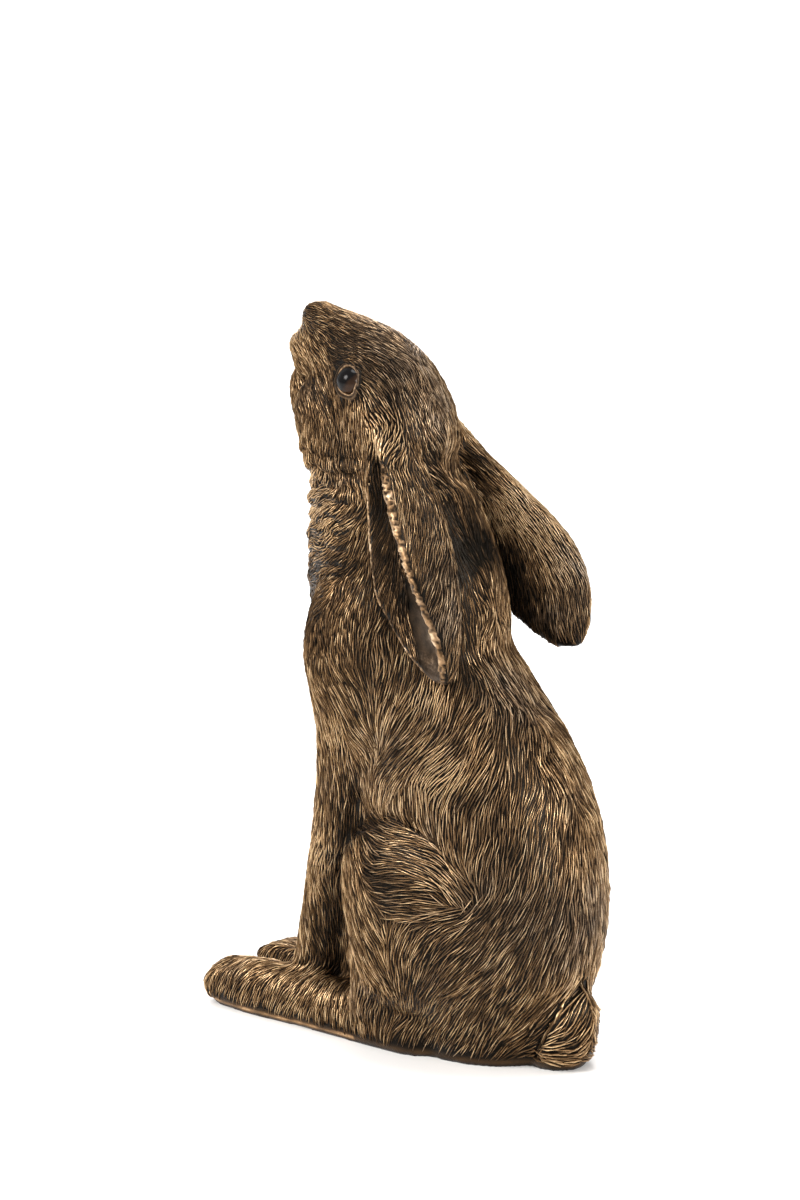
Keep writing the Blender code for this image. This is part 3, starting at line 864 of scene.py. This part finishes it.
def hairTones(places, facing, locks):
    # rubbed gold and painted highlights where the hair stands open; dark in the hollows from patina and
    # painted shade, and painted shade under the folds
    # painted light and shade: the fur is brighter the more sky it sees, over the patina dark in the hollows
    light = openness(places, facing)
    patches = softNoise(places, furTone["patchSize"], 7)
    bright = furTone["base"] + furTone["light"] * light + furTone["locks"] * locks
    bright += furTone["patches"] * patches + random.normal(0, furTone["spread"], len(places))
    # painted shade at the shade spots
    bright -= spotShare(places, bothSides(paintedShadeSpots))
    lip, folded = throatWave(places)
    # rubbed gold with painted highlights and painted light, strongest where the fur sees most sky
    gold = spotShare(places, bothSides(goldAndHighlightSpots)) + spotShare(places, rightEarPaintedLightSpots)
    bright += gold * (0.3 + 0.7 * light) - furTone["foldShade"] * folded * (1 - lip)
    worn = spotShare(places, bothSides(wornSpots)) + np.clip(-patches, 0, 1) * 0.4
    worn += random.uniform(-0.2, 0.25, len(places))
    return np.clip(bright, furTone["darkest"], furTone["brightest"]), np.clip(worn, 0, 1)


def keptClear(line):
    # the hairs that stay off the ground, the smooth patch, the eyes and the rims
    shown = (line[:, :, 2] > furLook["groundGap"]).all(axis=0)
    for x, y, z, reach in baldSpots:
        shown &= (np.linalg.norm(line - np.array((x, y, z)) * mm, axis=2) > reach * mm).all(axis=0)
    for middle, radius in eyeSpots:
        shown &= (np.linalg.norm(line - middle, axis=2) > radius + 0.9 * mm).all(axis=0)
    for rim, thick in rimLines:
        crossed = creaseShare(line.reshape(-1, 3), rim, thick * 0.8).reshape(line.shape[:2])
        shown &= (crossed < 0.35).all(axis=0)
    return shown


def layFur():
    across, up, along, shapeFaces = hairShape()
    places, facing, way, sizes, zones = sownRoots()
    count = len(places)
    long = sizes[:, 0] * mm * random.uniform(*furLook["longSpread"], count)
    wide = sizes[:, 1] * mm * random.uniform(*furLook["wideSpread"], count)
    high = sizes[:, 2] * mm * random.uniform(*furLook["highSpread"], count)
    stops = sorted(set(np.round(along, 3)))
    line, turned, sides = traceHairs(places, facing, way, sizes, long, stops)
    # some locks stand up and others lie sunk
    locks = softNoise(places, furLook["lockSize"], 40)
    uneven = furLook["lockLift"] * locks + random.uniform(-0.15, 0.2, count)
    lift = high * (furLook["lift"] + uneven)
    # brightness with painted light and shade, and the grey wear
    bright, worn = hairTones(places, facing, locks)
    shown = keptClear(line)

    sideNames = {"left": places[:, 0] >= 0, "right": places[:, 0] < 0}
    for zoneName, (sideName, onSide) in itertools.product(zoneNames, sideNames.items()):
        chosen = np.flatnonzero(shown & onSide & (zones == zoneNames.index(zoneName)))
        spots = np.zeros((len(chosen), len(along), 3))
        ridge = np.zeros((len(chosen), len(along)))
        for corner in range(len(along)):
            stop = stops.index(round(float(along[corner]), 3))
            bow = math.sin(math.pi * along[corner])
            rise = up[corner] * high[chosen] + lift[chosen] * bow
            spots[:, corner] = (
                line[stop, chosen]
                + sides[stop, chosen] * (across[corner] * wide[chosen])[:, None]
                + turned[stop, chosen] * rise[:, None]
            )
            tip = abs(across[corner]) < 0.05
            share = furTone["root"] + (1 - furTone["root"]) * bow if tip else 0.0
            ridge[:, corner] = share * bright[chosen]
        spots[:, :, 2] = np.maximum(spots[:, :, 2], 0.3 * mm)
        name = sideName + "_" + zoneName
        makeFurPiece(name, spots, ridge, np.repeat(worn[chosen], len(along)), shapeFaces)
        print("fur of the", name + ":", len(chosen), "hairs")


def makeFurPiece(name, spots, ridge, worn, shapeFaces):
    hairs, corners = spots.shape[:2]
    starts = (np.arange(hairs) * corners)[:, None]
    loops = np.array([corner for face in shapeFaces for corner in face])
    sizes = np.array([len(face) for face in shapeFaces])
    mesh = bpy.data.meshes.new("fur_" + name)
    mesh.vertices.add(hairs * corners)
    mesh.vertices.foreach_set("co", spots.ravel())
    mesh.loops.add(hairs * len(loops))
    mesh.loops.foreach_set("vertex_index", (starts + loops).ravel().astype(np.int32))
    mesh.polygons.add(hairs * len(sizes))
    firsts = np.concatenate([[0], np.cumsum(np.tile(sizes, hairs))[:-1]])
    mesh.polygons.foreach_set("loop_start", firsts.astype(np.int32))
    mesh.update(calc_edges=True)
    fur = bpy.data.objects.new("fur_" + name, mesh)
    bpy.context.scene.collection.objects.link(fur)
    pickNone()
    fur.select_set(True)
    bpy.context.view_layer.objects.active = fur
    bpy.ops.object.shade_smooth()
    fur.data.materials.append(furBronze)
    setTone(fur, "ridge", ridge.ravel())
    setTone(fur, "wear", worn)
    handIn(fur, "aged_bronze")


layFur()

# the cast between the hairs: dark, grey and smooth at the left ear's tip, with a brown lip round the feet
castTone = {
    "base": 0.1, "smooth": 0.36, "streaks": 0.25, "streakSize": 1.1 * mm, "brightest": 0.85,
    "lipHigh": 2.2 * mm, "lipWide": 1.4 * mm, "footLip": 0.8, "haunchLip": 0.3, "footEnds": 2 * mm,
    "lipUneven": 0.6, "lipUnevenSize": 7 * mm,
}


def toneCast():
    smooth = np.zeros(len(bodyPoints))
    for x, y, z, reach in baldSpots:
        gone = np.linalg.norm(bodyPoints - np.array((x, y, z)) * mm, axis=1)
        smooth += np.clip(1.25 - gone / (reach * mm), 0, 1)
    smooth = np.clip(smooth, 0, 1)
    streaks = softNoise(bodyPoints * (1, 0.4, 0.3), castTone["streakSize"])
    lip = np.exp(-(((bodyPoints[:, 2] - castTone["lipHigh"]) / castTone["lipWide"]) ** 2))
    lip *= np.where(bodyPoints[:, 1] < castTone["footEnds"], castTone["footLip"], castTone["haunchLip"])
    lip *= 1 + castTone["lipUneven"] * softNoise(bodyPoints, castTone["lipUnevenSize"])
    tone = castTone["base"] + (castTone["smooth"] + castTone["streaks"] * streaks) * smooth + lip
    setTone(body, "ridge", np.clip(tone, 0, castTone["brightest"]))
    setTone(body, "wear", smooth)
    handIn(body, "aged_bronze", "hare_body")


toneCast()
print("cast toned")

# a plain pale floor and soft studio light
studio = {"floor": 60.0, "paint": (0.9, 0.9, 0.9), "sky": 0.6}
studioLights = {
    "window light": {"place": (1.7, -0.7, 1.5), "power": 40, "size": 0.9, "tint": (1, 0.97, 0.93)},
    "side light": {"place": (0.7, 2.1, 0.9), "power": 42, "size": 0.8, "tint": (1, 0.98, 0.95)},
    "top light": {"place": (-0.2, 0.1, 2.3), "power": 24, "size": 1.1, "tint": (1, 1, 1)},
    "far light": {"place": (-2.6, -2.4, 2.6), "power": 150, "size": 2.6, "tint": (1, 1, 1)},
}
cameraLook = {
    "lens": 174.4, "sensor": 36, "place": (1.7614, 1.5009, 0.7483), "aim": (0.0128, 0.0076, 0.1851),
}


def layFloor():
    pickNone()
    bpy.ops.mesh.primitive_plane_add(size=studio["floor"])
    floor = bpy.context.object
    floor.name = "floor"
    paint, nodes, links = newMaterial("pale floor")
    nodes["Principled BSDF"].inputs["Base Color"].default_value = (*studio["paint"], 1)
    nodes["Principled BSDF"].inputs["Roughness"].default_value = 0.9
    floor.data.materials.append(paint)


def lightSky():
    sky = bpy.data.worlds.new("studio")
    sky.use_nodes = True
    sky.node_tree.nodes["Background"].inputs["Color"].default_value = (1, 1, 1, 1)
    sky.node_tree.nodes["Background"].inputs["Strength"].default_value = studio["sky"]
    bpy.context.scene.world = sky


def turnTo(thing, place, aim):
    thing.location = place
    thing.rotation_euler = (Vector(aim) - Vector(place)).to_track_quat("-Z", "Y").to_euler()
    bpy.context.scene.collection.objects.link(thing)


def softLight(name, place, power, size, tint):
    lamp = bpy.data.lights.new(name, "AREA")
    lamp.shape = "DISK"
    lamp.size = size
    lamp.energy = power
    lamp.color = tint
    turnTo(bpy.data.objects.new(name, lamp), place, (0, 0, 0.15))


layFloor()
lightSky()
for name, look in studioLights.items():
    softLight(name, **look)
camera = bpy.data.cameras.new("camera")
camera.lens = cameraLook["lens"]
camera.sensor_width = cameraLook["sensor"]
cameraHolder = bpy.data.objects.new("camera", camera)
turnTo(cameraHolder, cameraLook["place"], cameraLook["aim"])
bpy.context.scene.camera = cameraHolder
bpy.context.scene.view_settings.view_transform = "Standard"

print("done")
